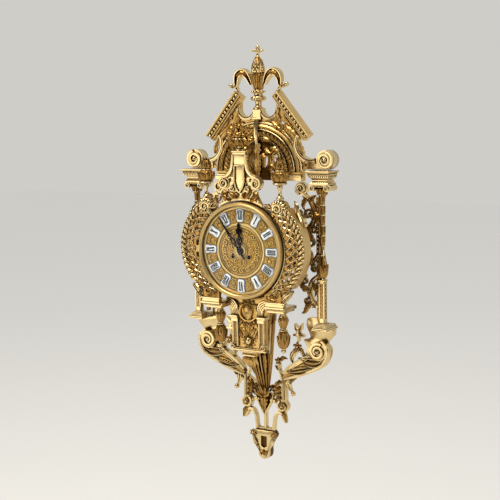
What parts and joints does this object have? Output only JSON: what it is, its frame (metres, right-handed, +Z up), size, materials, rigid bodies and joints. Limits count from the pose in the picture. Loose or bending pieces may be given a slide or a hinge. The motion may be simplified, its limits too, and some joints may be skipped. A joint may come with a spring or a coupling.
{
  "type": "cartel wall clock",
  "caption": "Gilt-bronze wall clock of cartel form: pierced architectural case, glazed dial with enamel numeral plaques and a spring-driven striking movement.",
  "frame": {"origin": "centre of the hanging hole on the wall plane", "axes": "+X to the viewer's right, +Y towards the wall, +Z up; the dial faces -Y"},
  "size_m": [0.308, 0.1141, 0.76],
  "materials": {
    "gilt_bronze": "mercury gilt, part burnished",
    "brass": "polished",
    "steel": "polished",
    "blued_steel": "heat blued",
    "enamel": "glossy",
    "glass": "clear",
    "bell_metal": "turned"
  },
  "bodies": {
    "case": {"pediment": "gilt_bronze", "raking_cornices": "gilt_bronze", "finial": "gilt_bronze", "tendrils": "gilt_bronze", "left_entablature": "gilt_bronze", "right_entablature": "gilt_bronze", "left_column": "gilt_bronze", "right_column": "gilt_bronze", "left_side_panel": "gilt_bronze", "right_side_panel": "gilt_bronze", "left_bracket": "gilt_bronze", "right_bracket": "gilt_bronze", "tail": "gilt_bronze", "pendant": "gilt_bronze", "gaine": "gilt_bronze", "mask_panel": "gilt_bronze", "left_wing": "gilt_bronze", "right_wing": "gilt_bronze", "left_console": "gilt_bronze", "right_console": "gilt_bronze", "crest": "gilt_bronze", "basket": "gilt_bronze", "urns": "gilt_bronze", "hanger": "brass", "case_nuts": "brass", "drum": "brass", "dial_plate": "gilt_bronze", "numeral_plaques": "enamel", "bezel_pin": "steel", "door_pin": "steel", "front_plate": "brass", "back_plate": "brass", "pillars": "brass", "suspension_cock": "brass", "clicks": "steel", "bell": "bell_metal", "bell_stand": "steel"},
    "bezel_door": {"bezel": "gilt_bronze", "glass": "glass"},
    "rear_door": {"back_door": "brass"},
    "minute_arbor": {"minute_hand": "blued_steel", "hand_nut": "brass", "centre_wheel": "brass"},
    "hour_pipe": {"hour_hand": "blued_steel", "hour_wheel": "brass"},
    "motion_wheel": {"minute_wheel": "brass"},
    "second_arbor": {"second_wheel": "brass"},
    "third_arbor": {"third_wheel": "brass"},
    "escape_arbor": {"escape_wheel": "brass"},
    "anchor_arbor": {"anchor": "steel"},
    "pendulum": {"pendulum_rod": "brass", "pendulum_bob": "brass"},
    "going_drum": {"going_barrel": "brass"},
    "strike_drum": {"strike_barrel": "brass"},
    "strike_pins": {"pin_wheel": "brass"},
    "going_key_arbor": {"going_winder": "steel"},
    "strike_key_arbor": {"strike_winder": "steel"},
    "strike_hammer": {"hammer": "steel"}
  },
  "joints": [
    {"name": "bezel_hinge", "type": "hinge", "parent": "case", "child": "bezel_door", "pos_m": [-0.09, -0.091, -0.2], "axis": [0, 0, -1], "range_deg": [0, 110]},
    {"name": "rear_door_hinge", "type": "hinge", "parent": "case", "child": "rear_door", "pos_m": [0.064, -0.004, -0.2], "axis": [0, 0, -1], "range_deg": [0, 100]},
    {"name": "minute_hand_turn", "type": "hinge", "parent": "case", "child": "minute_arbor", "pos_m": [0, -0.06, -0.2], "axis": [0, 1, 0], "continuous": true},
    {"name": "hour_hand_turn", "type": "hinge", "parent": "case", "child": "hour_pipe", "pos_m": [0, -0.06, -0.2], "axis": [0, 1, 0], "continuous": true},
    {"name": "motion_wheel_turn", "type": "hinge", "parent": "case", "child": "motion_wheel", "pos_m": [0, -0.06, -0.188], "axis": [0, 1, 0], "continuous": true},
    {"name": "second_wheel_turn", "type": "hinge", "parent": "case", "child": "second_arbor", "pos_m": [0.01403, -0.06, -0.19441], "axis": [0, 1, 0], "continuous": true},
    {"name": "third_wheel_turn", "type": "hinge", "parent": "case", "child": "third_arbor", "pos_m": [-0.00799, -0.06, -0.18743], "axis": [0, 1, 0], "continuous": true},
    {"name": "escape_wheel_turn", "type": "hinge", "parent": "case", "child": "escape_arbor", "pos_m": [0, -0.06, -0.17988], "axis": [0, 1, 0], "continuous": true},
    {"name": "going_barrel_turn", "type": "hinge", "parent": "case", "child": "going_drum", "pos_m": [0.0165, -0.06, -0.211], "axis": [0, 1, 0], "continuous": true},
    {"name": "pendulum_swing", "type": "hinge", "parent": "case", "child": "pendulum", "pos_m": [0, -0.042, -0.16887], "axis": [0, 1, 0], "range_deg": [-5, 5]},
    {"name": "anchor_rock", "type": "hinge", "parent": "case", "child": "anchor_arbor", "pos_m": [0, -0.06, -0.16887], "axis": [0, 1, 0], "range_deg": [-5, 5]},
    {"name": "strike_barrel_turn", "type": "hinge", "parent": "case", "child": "strike_drum", "pos_m": [-0.0165, -0.06, -0.211], "axis": [0, 1, 0], "continuous": true},
    {"name": "pin_wheel_turn", "type": "hinge", "parent": "case", "child": "strike_pins", "pos_m": [-0.0165, -0.06, -0.22778], "axis": [0, 1, 0], "continuous": true},
    {"name": "going_winding", "type": "hinge", "parent": "case", "child": "going_key_arbor", "pos_m": [0.0165, -0.06, -0.211], "axis": [0, 1, 0], "continuous": true},
    {"name": "strike_winding", "type": "hinge", "parent": "case", "child": "strike_key_arbor", "pos_m": [-0.0165, -0.06, -0.211], "axis": [0, 1, 0], "continuous": true},
    {"name": "hammer_lift", "type": "hinge", "parent": "case", "child": "strike_hammer", "pos_m": [0.034, -0.06, -0.176], "axis": [0, 1, 0], "range_deg": [0, 18]}
  ],
  "couplings": [
    {"joint": "hour_hand_turn", "follows": "minute_hand_turn", "ratio": 0.083333},
    {"joint": "motion_wheel_turn", "follows": "minute_hand_turn", "ratio": -0.33333},
    {"joint": "second_wheel_turn", "follows": "minute_hand_turn", "ratio": -0.125},
    {"joint": "going_barrel_turn", "follows": "minute_hand_turn", "ratio": 0.013889},
    {"joint": "third_wheel_turn", "follows": "minute_hand_turn", "ratio": -12},
    {"joint": "escape_wheel_turn", "follows": "minute_hand_turn", "ratio": 120},
    {"joint": "anchor_rock", "follows": "pendulum_swing", "ratio": 1},
    {"joint": "pin_wheel_turn", "follows": "strike_barrel_turn", "ratio": -9}
  ]
}
